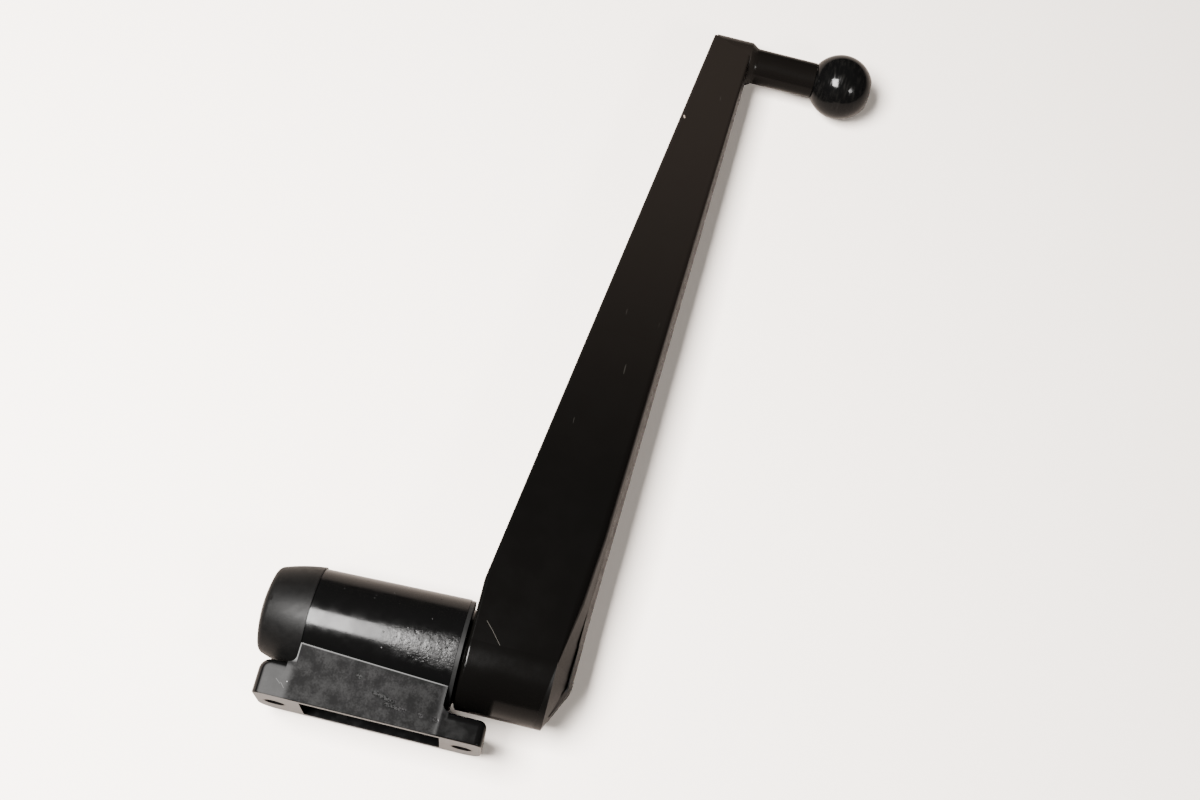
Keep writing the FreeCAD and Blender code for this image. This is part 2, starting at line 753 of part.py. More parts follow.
def cover_sections(body, name, gap, rise):
    """Outlines of the strip that caps the arm's outer side, flush with its bevels, from the hub's cone to
    near the tip. The strip is enlarged by gap at its sides and reaches out by rise."""
    high_crease = crease_x("cover_high")
    stations = [
        ("low", "cover_low - " + gap, cone_x("cover_low"), "cover_low_depth", "cover_low_slope"),
        ("corner", "cover_corner", cone_x("cover_corner") + " + cover_corner_rise", "cover_depth",
         "cover_corner_slope"),
        ("kink", "blade_kink", outer_x("blade_kink"), "cover_depth", bevel("blade_kink", "kink_crease")),
        ("shoulder", "blade_shoulder", outer_x("blade_shoulder"), "cover_depth",
         bevel("blade_shoulder", "shoulder_crease")),
        ("high", "cover_high + " + gap, outer_x("cover_high"), "cover_tip_depth",
         bevel("cover_high", high_crease))]
    outlines = []
    for station, distance, top, depth, slope in stations:
        foot = "(ridge_half + %s / (%s) + %s)" % (depth, slope, gap)
        ridge = "(ridge_half + %s)" % gap
        base = "%s - %s - %s / 2" % (top, depth, gap)
        crest = "%s + %s" % (top, rise)
        points = [(base, "-" + foot), (crest, "-" + ridge), (crest, ridge), (base, foot)]
        outlines.append(section(body, "%s_%s" % (name, station), distance, points))
    return outlines


def cone_x(distance):
    """X of the hub's cone on the arm's centre plane, on the side away from the blade."""
    slope = "(hub_crown - hub_crease) / (hub_radius - ridge_half)"
    return "(hub_crease + %s * (hub_radius + %s))" % (slope, distance)


def bevel(distance, crease):
    """Fall of the blade's bevel along X for each unit along Z."""
    return "(%s - %s) / (%s - ridge_half)" % (outer_x(distance), crease, half_at(distance))


def cut_cover_seat(body):
    lofted(body, "cover_seat", cover_sections(body, "seat", "cover_gap", "2 * cover_depth"), cut=True)
    for number in range(SCREWS):
        place = "first_rib + %d * rib_pitch" % number
        turned(body, "screw_hole_%d" % (number + 1),
               rectangle(outer_x(place) + " - screw_length - overcut", outer_x(place) + " + overcut", "0",
                         "screw_radius + seat_gap"), cut=True, offset={"y": place})


def make_arm_cover(placement):
    body = new_body("arm_cover", placement)
    lofted(body, "strip", cover_sections(body, "strip", "0", "0"))
    notch = new_sketch(body, "XY_Plane", "notch_outline", {"z": "ridge_half + cover_depth"})
    seam = outer_x("0") + " - cover_depth"
    add_loop(notch, [
        (seam + " - notch_half", "notch_low"), (seam + " + notch_half", "notch_low"),
        (seam + " + notch_half + notch_lean", "notch_high"), (seam + " - notch_half", "notch_high")])
    padded(body, "pry_notch", notch, "notch_reach", back=True, cut=True)
    for number in range(SCREWS):
        place = "first_rib + %d * rib_pitch" % number
        top = outer_x(place)
        neck = top + " - screw_head_depth"
        turned(body, "screw_seat_%d" % (number + 1), [
            (top + " + overcut", "0"), (top + " + overcut", "screw_head + screw_gap"),
            (top, "screw_head + screw_gap"), (neck, "screw_radius + screw_gap"),
            (neck + " - cover_depth", "screw_radius + screw_gap"), (neck + " - cover_depth", "0")],
            cut=True, offset={"y": place})
    return body


def make_cover_screws(placement):
    """Countersunk screws, one in each rib."""
    body = new_body("cover_screws", placement)
    for number in range(SCREWS):
        place = "first_rib + %d * rib_pitch" % number
        top = outer_x(place) + " - face_gap"
        turned(body, "screw_%d" % (number + 1), [
            (top, "0"), (top, "screw_head"), (top + " - screw_head_depth", "screw_radius"),
            (top + " - screw_length", "screw_radius"), (top + " - screw_length", "0")],
            offset={"y": place})
        socket = new_sketch(body, "YZ_Plane", "screw_socket_outline_%d" % (number + 1), {"z": top})
        add_loop(socket, shifted(hex_points("screw_radius * 4 / 3"), place))
        padded(body, "screw_socket_%d" % (number + 1), socket, "screw_head_depth", cut=True)
    return body


def shifted(points, distance):
    return [("%s + %s" % (distance, x), y) for x, y in points]


def make_hub_fixings(placement):
    """Washer and socket-headed bolt that hold the hub on the spindle."""
    ring("hub_washer", "hub_web_right", "hub_web_right + hub_washer_thick",
         "bolt_hole", "bolt_head + loose_gap", placement)
    body = new_body("hub_bolt", placement)
    seat = "hub_web_right + hub_washer_thick"
    socket_headed(body, "bolt", seat, "bolt_radius", "hub_web_right + hub_washer_thick - bolt_length",
                  ("bolt_head", "bolt_head_height"), ("bolt_socket", "bolt_socket_depth"))


def socket_headed(body, name, seat, radius, shank_end, head, socket):
    """Cylindrical head with a hexagon socket, on a plain shank that ends at shank_end."""
    head_radius, head_height = head
    flats, depth = socket
    top = "%s + %s" % (seat, head_height)
    turned(body, name, [(shank_end, "0"), (top, "0"), (top, head_radius), (seat, head_radius),
                        (seat, radius), (shank_end, radius)])
    sketch = new_sketch(body, "YZ_Plane", name + "_socket_outline", {"z": top})
    add_loop(sketch, hex_points(flats))
    padded(body, name + "_socket", sketch, depth, cut=True)


# ---------------------------------------------------------------- knob

def make_ball_knob(placement):
    """Ball with two flats, bored for its bush, for the pin's head and for the plug."""
    body = new_body("ball_knob", placement)
    left_radius = "sqrt(ball_radius ^ 2 - ball_left ^ 2)"
    right_radius = "sqrt(ball_radius ^ 2 - ball_right ^ 2)"
    turned(body, "ball", [
        ("ball_left", "bush_outer"), ("bush_end", "bush_outer"), ("bush_end", "plug_radius"),
        ("ball_right", "plug_radius"), ("ball_right", right_radius), ("0", "ball_radius"),
        ("ball_left", left_radius)], arcs={4: ("y", "0"), 5: ("y", "0")})
    return body


def make_knob_parts(knob, tip):
    """Bush and plug turn with the ball; washer and shoulder pin stay with the arm."""
    ring("knob_bush", "ball_left + face_gap", "bush_end", "pin_radius + running_gap", "bush_outer", knob)
    ring_end = "ball_right - plug_thick"
    plug = new_body("knob_plug", knob)
    turned(plug, "plug", rectangle(ring_end, "ball_right", "0", "plug_radius"))
    low = "bush_end + 2 * face_gap"
    ring("knob_washer", low, low + " + knob_washer_thick",
         "pin_radius + seat_gap", "pin_head + loose_gap", tip)
    pin = new_body("knob_pin", tip)
    neck_end = "ball_left - neck_gap"
    head = low + " + knob_washer_thick"
    top = head + " + pin_head_height"
    turned(pin, "pin", [
        (neck_end + " - pin_thread_length", "0"), (top, "0"), (top, "pin_head"), (head, "pin_head"),
        (head, "pin_radius"), (neck_end, "pin_radius"), (neck_end, "pin_thread"),
        (neck_end + " - pin_thread_length", "pin_thread")])
    sketch = new_sketch(pin, "YZ_Plane", "pin_socket_outline", {"z": top})
    add_loop(sketch, hex_points("pin_socket"))
    padded(pin, "pin_socket", sketch, "pin_socket_depth", cut=True)


# ---------------------------------------------------------------- assembly

def build():
    """Make every sub-part. Those of the arm are turned about the spindle to the rest position."""
    shaft = Placement(Vector(0, size("axis_height"), 0), Rotation())
    arm = Placement(Vector(0, size("axis_height"), 0), Rotation(Vector(1, 0, 0), REST_ANGLE))
    tip = arm.multiply(Placement(Vector(size("ball_centre"), size("arm_length"), 0), Rotation()))
    make_housing()
    make_end_cap(shaft)
    make_cap_ring(shaft)
    make_housing_rings(shaft)
    make_spindle(arm)
    make_friction_parts(arm)
    make_pinion(arm)
    make_circlips(arm)
    make_key("pinion_key", "0", "journal", arm)
    make_key("arm_key", "arm_key_at", "tail", arm)
    make_crank_arm(arm)
    make_hub_fixings(arm)
    make_arm_cover(arm)
    make_cover_screws(arm)
    make_ball_knob(tip)
    make_knob_parts(tip, tip)


def sub_parts():
    return [item for item in doc.Objects if item.TypeId == "PartDesign::Body"]


def check():
    """Stop before anything is written if any object or sub-part has failed."""
    for item in doc.Objects:
        if {"Invalid", "Error"} & set(item.State):
            raise RuntimeError("%s has failed: %s" % (item.Name, item.State))
    for item in sub_parts():
        if item.Shape.isNull() or not item.Shape.isValid() or item.Shape.Volume <= 0:
            raise RuntimeError(item.Label + " has no valid shape")


def export():
    os.makedirs("parts", exist_ok=True)
    for item in sub_parts():
        item.Shape.exportStep("parts/%s.step" % item.Label)


build()
doc.recompute()
check()
export()
for item in sub_parts():
    print("%-16s %10.1f mm3, %d solid(s)" % (item.Label, item.Shape.Volume, len(item.Shape.Solids)))
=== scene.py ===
import bpy
import json
import math
import random
from mathutils import Matrix, Vector


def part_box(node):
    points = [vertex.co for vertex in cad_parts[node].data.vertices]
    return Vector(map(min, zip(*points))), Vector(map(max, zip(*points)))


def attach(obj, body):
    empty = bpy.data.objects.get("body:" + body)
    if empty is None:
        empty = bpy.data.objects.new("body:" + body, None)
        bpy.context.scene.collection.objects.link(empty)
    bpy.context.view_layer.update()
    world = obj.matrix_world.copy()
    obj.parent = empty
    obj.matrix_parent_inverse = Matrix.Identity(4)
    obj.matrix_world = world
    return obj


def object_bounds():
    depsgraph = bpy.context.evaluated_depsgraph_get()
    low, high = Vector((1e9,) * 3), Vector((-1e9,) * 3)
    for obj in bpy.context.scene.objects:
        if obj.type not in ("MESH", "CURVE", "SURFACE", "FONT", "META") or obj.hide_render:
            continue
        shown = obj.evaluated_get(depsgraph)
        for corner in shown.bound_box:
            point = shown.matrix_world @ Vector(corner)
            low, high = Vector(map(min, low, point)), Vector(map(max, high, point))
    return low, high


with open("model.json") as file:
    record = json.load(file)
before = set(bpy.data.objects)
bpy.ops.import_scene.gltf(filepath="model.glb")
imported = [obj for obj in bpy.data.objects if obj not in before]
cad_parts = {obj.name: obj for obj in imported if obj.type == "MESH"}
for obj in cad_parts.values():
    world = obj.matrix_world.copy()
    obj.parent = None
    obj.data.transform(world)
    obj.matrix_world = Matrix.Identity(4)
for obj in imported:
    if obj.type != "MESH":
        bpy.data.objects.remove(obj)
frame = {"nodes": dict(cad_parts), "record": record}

cad_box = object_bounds()
nodes = frame["nodes"]
MM = 0.001
seeded = random.Random(7)

# Places on the object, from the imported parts.
washer_low = Vector(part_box("thrust_washer")[0])
arm_high = Vector(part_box("crank_arm")[1])
bush_low, bush_high = (Vector(corner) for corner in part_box("left_bush"))
axis_y = (bush_low.y + bush_high.y) / 2
axis_z = (bush_low.z + bush_high.z) / 2
bush_depth = 10 * MM
barrel_left = bush_low.x - bush_depth
barrel_right = washer_low.x
barrel_radius_left = 22 * MM
barrel_radius_right = 24 * MM
barrel_taper = (barrel_radius_right - barrel_radius_left) / (barrel_right - barrel_left)
hole_mount = [mount for mount in frame["record"]["mounts"] if mount["name"] == "foot_holes"][0]
hole_spacing = hole_mount["dims"]["spacing_x_mm"] * MM
hole_radius = hole_mount["dims"]["hole_r_mm"] * MM


# ---------------------------------------------------------------- camera, floor and lights

def view_axes(azimuth, elevation, roll):
    """Image right, image up and towards-the-camera directions, from angles in degrees."""
    a, e, r = (math.radians(v) for v in (azimuth, elevation, roll))
    back = Vector((math.sin(a) * math.cos(e), -math.cos(a) * math.cos(e), math.sin(e)))
    level = Vector((math.cos(a), math.sin(a), 0))
    upright = back.cross(level)
    right = math.cos(r) * level + math.sin(r) * upright
    return right, back.cross(right), back


def make_camera():
    right, up, back = view_axes(azimuth=-1.082, elevation=69.053, roll=14.918)
    data = bpy.data.cameras.new("camera")
    data.sensor_width = 36.0
    data.lens = 47.19
    data.clip_start = 0.01
    camera = bpy.data.objects.new("camera", data)
    bpy.context.scene.collection.objects.link(camera)
    place = Matrix((right, up, back)).transposed().to_4x4()
    place.translation = Vector((56.8, -89.6, 666.4)) * MM
    camera.matrix_world = place
    bpy.context.scene.camera = camera


def make_floor():
    reach = 3.0
    mesh = bpy.data.meshes.new("floor")
    level = cad_box[0][2]
    corners = [(x * reach, y * reach, level) for x, y in ((-1, -1), (1, -1), (1, 1), (-1, 1))]
    mesh.from_pydata(corners, [], [(0, 1, 2, 3)])
    mesh.materials.append(paper())
    floor = bpy.data.objects.new("floor", mesh)
    bpy.context.scene.collection.objects.link(floor)


def area_light(name, place, target, size, power, colour):
    data = bpy.data.lights.new(name, "AREA")
    data.shape = "RECTANGLE"
    data.size, data.size_y = size
    data.energy = power
    data.color = colour
    light = bpy.data.objects.new(name, data)
    bpy.context.scene.collection.objects.link(light)
    light.location = place
    light.rotation_euler = (Vector(target) - Vector(place)).to_track_quat("-Z", "Y").to_euler()


def make_lights():
    """One softbox overhead that ends left of the arm, a weak fill light at the right, and a dim room."""
    warm = (1.0, 0.98, 0.96)
    area_light("softbox", place=(-0.395, -0.05, 1.0), target=(-0.395, -0.05, 0), size=(0.45, 0.56),
               power=106, colour=warm)
    area_light("fill", place=(1.2, -0.6, 1.2), target=(0.2, 0.1, 0), size=(0.3, 0.3),
               power=18, colour=warm)
    world = bpy.data.worlds.new("room")
    world.use_nodes = True
    background = world.node_tree.nodes["Background"]
    background.inputs["Color"].default_value = (1.0, 0.95, 0.90, 1)
    background.inputs["Strength"].default_value = 0.04
    bpy.context.scene.world = world


# ---------------------------------------------------------------- materials

def marks(*ends):
    """Marks from their two ends, given as x and y in millimetres."""
    return [tuple(tuple(value * MM for value in end) for end in pair) for pair in ends]


# Small damage on the real object: pits in the web's front, scratches and one nick.
WEB_PITS = marks(((-8, 16.4), (-6.8, 15.6)), ((0.5, 11), (9, 9)), ((6, 7.5), (14, 6.8)),
                 ((20.6, 7), (21.2, 6.2)), ((26.8, 6.4), (27.6, 6.1)))
EAR_SCRATCHES = marks(((-39.7, 7.3), (-37.6, 5.6)), ((-37.4, 6.2), (-35.6, 4.2)))
ARM_SCRATCHES = marks(((37.7, 50.1), (41.0, 46.6)), ((41.0, 46.6), (45.4, 41.3)))
ARM_NICK = marks(((68.4, 316.9), (68.8, 315.9)))[0]


# Index of refraction of each black surface. Real paint and plastic have about 1.5: these are lower, which
# dims what the surfaces reflect.
HOUSING_IOR = 1.22
ARM_IOR = 1.17
CAP_IOR = 1.17
MOULDED_IOR = 1.2
KNOB_IOR = 1.25


class Recipe:
    """A Principled material whose sockets are fed by nodes, all in the object's own metres."""

    def __init__(self, name, colour, roughness, metallic=0.0, specular=0.5, ior=1.5):
        self.material = bpy.data.materials.new(name)
        self.material.use_nodes = True
        self.tree = self.material.node_tree
        self.shader = self.tree.nodes["Principled BSDF"]
        self.set("Base Color", (*colour, 1))
        self.set("Roughness", roughness)
        self.set("Metallic", metallic)
        self.set("Specular IOR Level", specular)
        self.set("IOR", ior)
        self.place = self.add("ShaderNodeTexCoord").outputs["Object"]
        self.axes = self.add("ShaderNodeSeparateXYZ", Vector=self.place).outputs
        self.normal = None

    def add(self, kind, settings=None, **inputs):
        node = self.tree.nodes.new(kind)
        for key, value in (settings or {}).items():
            setattr(node, key, value)
        for key, value in inputs.items():
            self.feed(node.inputs[key], value)
        return node

    def feed(self, socket, value):
        if isinstance(value, bpy.types.NodeSocket):
            self.tree.links.new(value, socket)
        else:
            socket.default_value = value

    def set(self, key, value):
        self.feed(self.shader.inputs[key], value)

    def math(self, operation, first, second=0.0):
        node = self.add("ShaderNodeMath", {"operation": operation})
        self.feed(node.inputs[0], first)
        self.feed(node.inputs[1], second)
        return node.outputs[0]

    def stretched(self, scale):
        """The place in metres, times a different factor along each axis."""
        return self.add("ShaderNodeMapping", Vector=self.place, Scale=scale).outputs[0]

    def noise(self, size, detail=2.0, place=None, lumps=0.5):
        """Cloud of values about 0.5, whose lumps are about size metres across."""
        node = self.add("ShaderNodeTexNoise", Vector=place or self.place, Scale=1 / size, Detail=detail,
                        Roughness=lumps)
        return node.outputs["Fac"]

    def cells(self, size, output="Distance", place=None):
        node = self.add("ShaderNodeTexVoronoi", Vector=place or self.place, Scale=1 / size)
        return node.outputs[output]

    def ramp(self, value, low, high, first=0.0, second=1.0, linear=False):
        """Smooth step, or straight ramp, from first to second as value goes from low to high."""
        node = self.add("ShaderNodeMapRange", {"interpolation_type": "LINEAR" if linear else "SMOOTHSTEP"})
        for key, number in (("From Min", low), ("From Max", high), ("To Min", first), ("To Max", second)):
            node.inputs[key].default_value = number
        self.feed(node.inputs["Value"], value)
        return node.outputs[0]

    def blend(self, factor, first, second):
        """Number or colour from first to second."""
        colours = isinstance(first, tuple) or isinstance(second, tuple)
        kind = "RGBA" if colours else "FLOAT"
        node = self.add("ShaderNodeMix", {"data_type": kind})
        sockets = [s for s in node.inputs if s.type == ("RGBA" if colours else "VALUE") and s.name in "AB"]
        self.feed([s for s in node.inputs if s.name == "Factor" and s.type == "VALUE"][0], factor)
        for socket, value in zip(sockets, (first, second)):
            self.feed(socket, (*value, 1) if isinstance(value, tuple) and len(value) == 3 else value)
        return [s for s in node.outputs if s.type == ("RGBA" if colours else "VALUE")][0]

    def bump(self, height, depth):
        """Lay a height field of 0 to 1, depth metres deep, over what is there."""
        inputs = {"Height": height, "Strength": 1.0, "Distance": depth}
        if self.normal is not None:
            inputs["Normal"] = self.normal
        self.normal = self.add("ShaderNodeBump", **inputs).outputs[0]

    def done(self):
        if self.normal is not None:
            self.set("Normal", self.normal)
        return self.material


def specks(recipe, spacing, radius, share):
    """Mask of small round specks: one in each cell of a pattern, in this share of the cells."""
    distance = recipe.cells(spacing)
    chance = recipe.add("ShaderNodeSeparateColor", Color=recipe.cells(spacing, "Color")).outputs["Red"]
    dots = recipe.ramp(distance, radius / spacing * 0.6, radius / spacing, 1.0, 0.0)
    return recipe.math("MULTIPLY", dots, recipe.math("LESS_THAN", chance, share))


def orange_peel(recipe, size, depth):
    """The long low ripple of sprayed paint, with a finer one on it."""
    recipe.bump(recipe.noise(size, 1.0), depth)
    recipe.bump(recipe.noise(size / 3, 2.0), depth / 5)


def add_dust(recipe, colour, share, amount):
    """Pale lint and dust specks, paler and rougher than the paint under them."""
    dust = recipe.math("MULTIPLY", specks(recipe, 5 * MM, 0.22 * MM, share), amount)
    return recipe.blend(dust, colour, (0.5, 0.47, 0.44)), dust


def near_line(recipe, start, end, half_width):
    """Mask of a thin mark between two points, seen along Z, that fades towards both its ends."""
    flat = recipe.add("ShaderNodeVectorMath", {"operation": "MULTIPLY"})
    recipe.feed(flat.inputs[0], recipe.place)
    recipe.feed(flat.inputs[1], (1, 1, 0))
    run = Vector((*end, 0)) - Vector((*start, 0))
    from_start = recipe.add("ShaderNodeVectorMath", {"operation": "SUBTRACT"})
    recipe.feed(from_start.inputs[0], flat.outputs[0])
    recipe.feed(from_start.inputs[1], (*start, 0))
    along = recipe.add("ShaderNodeVectorMath", {"operation": "DOT_PRODUCT"})
    recipe.feed(along.inputs[0], from_start.outputs[0])
    recipe.feed(along.inputs[1], run / run.length_squared)
    share = recipe.ramp(along.outputs["Value"], 0.0, 1.0, linear=True)
    foot = recipe.add("ShaderNodeVectorMath", {"operation": "SCALE"})
    recipe.feed(foot.inputs[0], run)
    recipe.feed(foot.inputs["Scale"], share)
    gap = recipe.add("ShaderNodeVectorMath", {"operation": "DISTANCE"})
    recipe.feed(gap.inputs[0], from_start.outputs[0])
    recipe.feed(gap.inputs[1], foot.outputs[0])
    return recipe.ramp(gap.outputs["Value"], 0.4 * half_width, half_width, 1.0, 0.0)


def near_any(recipe, lines, half_width):
    """Mask of several such marks."""
    mask = 0.0
    for start, end in lines:
        mask = recipe.math("MAXIMUM", near_line(recipe, start, end, half_width), mask)
    return mask


def paper():
    """Smooth pale backdrop paper. Its reflections are dimmed: glossy rays meet a darker colour."""
    warm_white = (0.87, 0.795, 0.725)
    warm_white_pale = (0.89, 0.815, 0.75)
    in_reflections = (0.27, 0.23, 0.203)
    recipe = Recipe("floor_paper", warm_white, 0.75, specular=0.2)
    tone = recipe.blend(recipe.noise(60 * MM, 3.0), warm_white, warm_white_pale)
    mirrored = recipe.add("ShaderNodeLightPath").outputs["Is Glossy Ray"]
    recipe.set("Base Color", recipe.blend(mirrored, tone, in_reflections))
    recipe.bump(recipe.noise(0.6 * MM, 3.0), 0.01 * MM)
    return recipe.done()


def barrel_skin(recipe):
    """Distance from the barrel's tapered side, outward."""
    x, y, z = recipe.axes
    across = recipe.math("SUBTRACT", y, axis_y)
    squares = recipe.math("ADD", recipe.math("MULTIPLY", across, across), recipe.math("MULTIPLY", z, z))
    side = recipe.math("ADD", recipe.math("MULTIPLY", x, barrel_taper),
                       barrel_radius_left - barrel_taper * barrel_left)
    return recipe.math("SUBTRACT", recipe.math("SQRT", squares), side)


def housing_paint():
    """Black gloss paint on a casting: dull and grainy on the flat front, with painted highlights along the
    front's top and left edges, painted light on the left ear, scratches on that ear, dirty low on the
    barrel's right end. The end pads are bare machined metal, with a darker ring round each hole."""
    recipe = Recipe("housing_paint", (0.0015, 0.0015, 0.0015), 0.2, ior=HOUSING_IOR)
    x, y, z = recipe.axes
    pad = recipe.ramp(y, 0.02 * MM, 0.06 * MM, 1.0, 0.0)
    flat = recipe.math("MULTIPLY", recipe.ramp(z, 16.2 * MM, 17.0 * MM),
                       recipe.ramp(barrel_skin(recipe), 0.02 * MM, 0.12 * MM))
    web = recipe.math("MULTIPLY", flat,
                      recipe.ramp(x, barrel_right - 3 * MM, barrel_right + 1 * MM, 1.0, 0.0))
    dirty_end = recipe.math("MULTIPLY", recipe.ramp(x, -8 * MM, 26 * MM),
                            recipe.math("MULTIPLY", recipe.ramp(y, 24 * MM, 27 * MM),
                                        recipe.ramp(y, 37 * MM, 44 * MM, 1.0, 0.0)))

    grain = recipe.noise(0.8 * MM, 6.0, lumps=0.75)
    patches = recipe.noise(6 * MM, 3.0, lumps=0.6)
    speckle = recipe.math("MULTIPLY", grain, patches)
    base = recipe.blend(recipe.math("MULTIPLY", web, recipe.ramp(speckle, 0.16, 0.36)),
                        (0.0014, 0.0013, 0.0012), (0.006, 0.0055, 0.0051))
    pits = recipe.math("MULTIPLY", near_any(recipe, WEB_PITS, 1.3 * MM), recipe.ramp(grain, 0.38, 0.5))
    # Painted highlights: thin paler lines along the flat front's top edge, where it meets the barrel, and
    # along its left edge. They share one paler colour with the real scratches on the ear.
    top_edge = recipe.ramp(barrel_skin(recipe), 0.15 * MM, 0.5 * MM, 1.0, 0.0)
    left_edge = recipe.ramp(x, barrel_left + 0.25 * MM, barrel_left + 0.6 * MM, 1.0, 0.0)
    left_edge = recipe.math("MULTIPLY", left_edge, recipe.ramp(y, 15 * MM, 17 * MM))
    edge = recipe.math("MULTIPLY", recipe.math("MAXIMUM", top_edge, left_edge), web)
    scratches_and_edge_highlight = recipe.math("MAXIMUM", edge, near_any(recipe, EAR_SCRATCHES, 0.10 * MM))
    # Painted light: the left ear's front is painted a paler grey than the rest of the paint.
    left_ear_painted_light = recipe.math("MULTIPLY", recipe.ramp(x, -36 * MM, -33 * MM, 1.0, 0.0),
                           recipe.math("MULTIPLY", flat, recipe.ramp(y, 13 * MM, 15 * MM, 1.0, 0.0)))
    base = recipe.blend(left_ear_painted_light, base, (0.022, 0.0205, 0.019))
    base = recipe.blend(pits, base, (0.0006, 0.0006, 0.0006))
    base = recipe.blend(scratches_and_edge_highlight, base, (0.07, 0.066, 0.062))
    base, dust = add_dust(recipe, base, 0.04, 0.6)
    metal = recipe.noise(0.5 * MM, 4.0, recipe.stretched((0.12, 1.0, 1.0)))
    bare = recipe.blend(recipe.ramp(metal, 0.3, 0.7), (0.072, 0.064, 0.058), (0.115, 0.101, 0.092))
    from_hole = recipe.add("ShaderNodeVectorMath", {"operation": "LENGTH"})
    sideways = recipe.math("SUBTRACT", recipe.math("ABSOLUTE", x), hole_spacing / 2)
    recipe.feed(from_hole.inputs[0],
                recipe.add("ShaderNodeCombineXYZ", X=sideways, Y=0.0, Z=z).outputs[0])
    # A darker ring round the mouth of each hole on the bare pads.
    hole_mouth_ring = recipe.ramp(from_hole.outputs["Value"], hole_radius + 0.5 * MM, hole_radius + 0.8 * MM, 1.0, 0.0)
    bare = recipe.blend(hole_mouth_ring, bare, (0.006, 0.005, 0.005))
    recipe.set("Base Color", recipe.blend(pad, base, bare))
    recipe.set("Metallic", recipe.math("MULTIPLY", pad, 0.55))

    sheen = recipe.ramp(recipe.noise(4 * MM, 3.0), 0.35, 0.7, 0.15, 0.21)
    dirt_dullness = recipe.math("MULTIPLY", dirty_end, recipe.ramp(patches, 0.35, 0.6, 0.04, 0.27))
    sheen = recipe.math("ADD", sheen, dirt_dullness)
    dull = recipe.math("SUBTRACT", 0.86, recipe.ramp(speckle, 0.14, 0.4, 0.0, 0.14))
    dull = recipe.math("ADD", dull, recipe.ramp(x, 2 * MM, 34 * MM, 0.0, 0.16))
    gloss = recipe.blend(web, sheen, recipe.blend(pits, dull, 0.55))
    recipe.set("Roughness", recipe.blend(pad, recipe.math("MAXIMUM", gloss, dust), 0.42))

    recipe.bump(recipe.noise(6 * MM, 1.0), 0.03 * MM)
    coarse = recipe.noise(2.2 * MM, 4.0, lumps=0.65)
    recipe.bump(recipe.math("MULTIPLY", coarse, dirty_end), 0.42 * MM)
    recipe.bump(recipe.math("MULTIPLY", grain, web), 0.10 * MM)
    recipe.bump(recipe.math("SUBTRACT", 1.0, pits), 0.15 * MM)
    return recipe.done()


def beyond_crease(recipe):
    """Mask of the arm's bevels: the crease is one line beside the hub and a flatter one above it."""
    x, y = recipe.axes[:2]
    beside_hub = recipe.math("ADD", recipe.math("MULTIPLY", y, 0.148), 64.5 * MM)
    above_hub = recipe.math("ADD", recipe.math("MULTIPLY", y, 0.0583), 72.2 * MM)
    crease = recipe.math("MINIMUM", beside_hub, above_hub)
    past = recipe.ramp(recipe.math("SUBTRACT", x, crease), -0.3 * MM, 0.3 * MM)
    return recipe.math("MULTIPLY", past, recipe.ramp(x, 96.5 * MM, 97.5 * MM, 1.0, 0.0))


def arm_paint():
    """Black satin paint, paler and a little browner towards the tip but less so on the neck, with dust and
    fine scratches.
    """
    recipe = Recipe("arm_paint", (0.0012, 0.0012, 0.0012), 0.3, ior=ARM_IOR)
    x, y = recipe.axes[:2]
    neck = recipe.ramp(x, 92 * MM, 99 * MM, 1.0, 0.25)
    far = recipe.math("MULTIPLY", recipe.ramp(y, 100 * MM, arm_high.y), neck)
    tone = recipe.blend(far, (0.0012, 0.0011, 0.0010), (0.0062, 0.0050, 0.0042))
    tone, dust = add_dust(recipe, tone, 0.05, 0.7)
    lines = recipe.noise(1.2 * MM, 1.0, recipe.stretched((1.0, 0.045, 1.0)))
    scratch = recipe.math("MULTIPLY", recipe.ramp(lines, 0.79, 0.81), 0.14)
    scratch = recipe.math("MAXIMUM", scratch, near_any(recipe, ARM_SCRATCHES, 0.09 * MM))
    nick = near_line(recipe, *ARM_NICK, 0.5 * MM)
    tone = recipe.blend(nick, tone, (0.16, 0.13, 0.11))
    recipe.set("Base Color", recipe.blend(scratch, tone, (0.05, 0.046, 0.042)))
    satin = recipe.ramp(recipe.noise(12 * MM, 4.0), 0.3, 0.7, 0.15, 0.19)
    satin = recipe.math("ADD", satin, recipe.math("MULTIPLY", far, 0.08))
    near = recipe.math("MULTIPLY", recipe.ramp(x, 34 * MM, 46 * MM, 1.0, 0.0),
                       recipe.ramp(y, 5 * MM, 40 * MM, 1.0, 0.0))
    satin = recipe.blend(near, satin, 0.34)
    satin = recipe.blend(beyond_crease(recipe), satin, 0.36)
    recipe.set("Roughness", recipe.math("MAXIMUM", satin, dust))
    orange_peel(recipe, 3.5 * MM, 0.022 * MM)
    recipe.bump(recipe.math("MULTIPLY", recipe.noise(1.1 * MM, 4.0, lumps=0.65), near), 0.12 * MM)
    recipe.bump(dust, 0.06 * MM)
    return recipe.done()


def cap_plastic():
    """Fine-eroded black moulding."""
    recipe = Recipe("cap_plastic", (0.0016, 0.0016, 0.0016), 0.45, ior=CAP_IOR)
    tone = recipe.noise(6 * MM, 4.0)
    tone = recipe.blend(tone, (0.0016, 0.0016, 0.0016), (0.0030, 0.0029, 0.0028))
    tone, dust = add_dust(recipe, tone, 0.03, 0.6)
    recipe.set("Base Color", tone)
    recipe.set("Roughness", recipe.ramp(recipe.noise(3 * MM, 5.0), 0.3, 0.7, 0.40, 0.48))
    recipe.bump(recipe.noise(0.35 * MM, 3.0, lumps=0.7), 0.05 * MM)
    recipe.bump(dust, 0.05 * MM)
    return recipe.done()


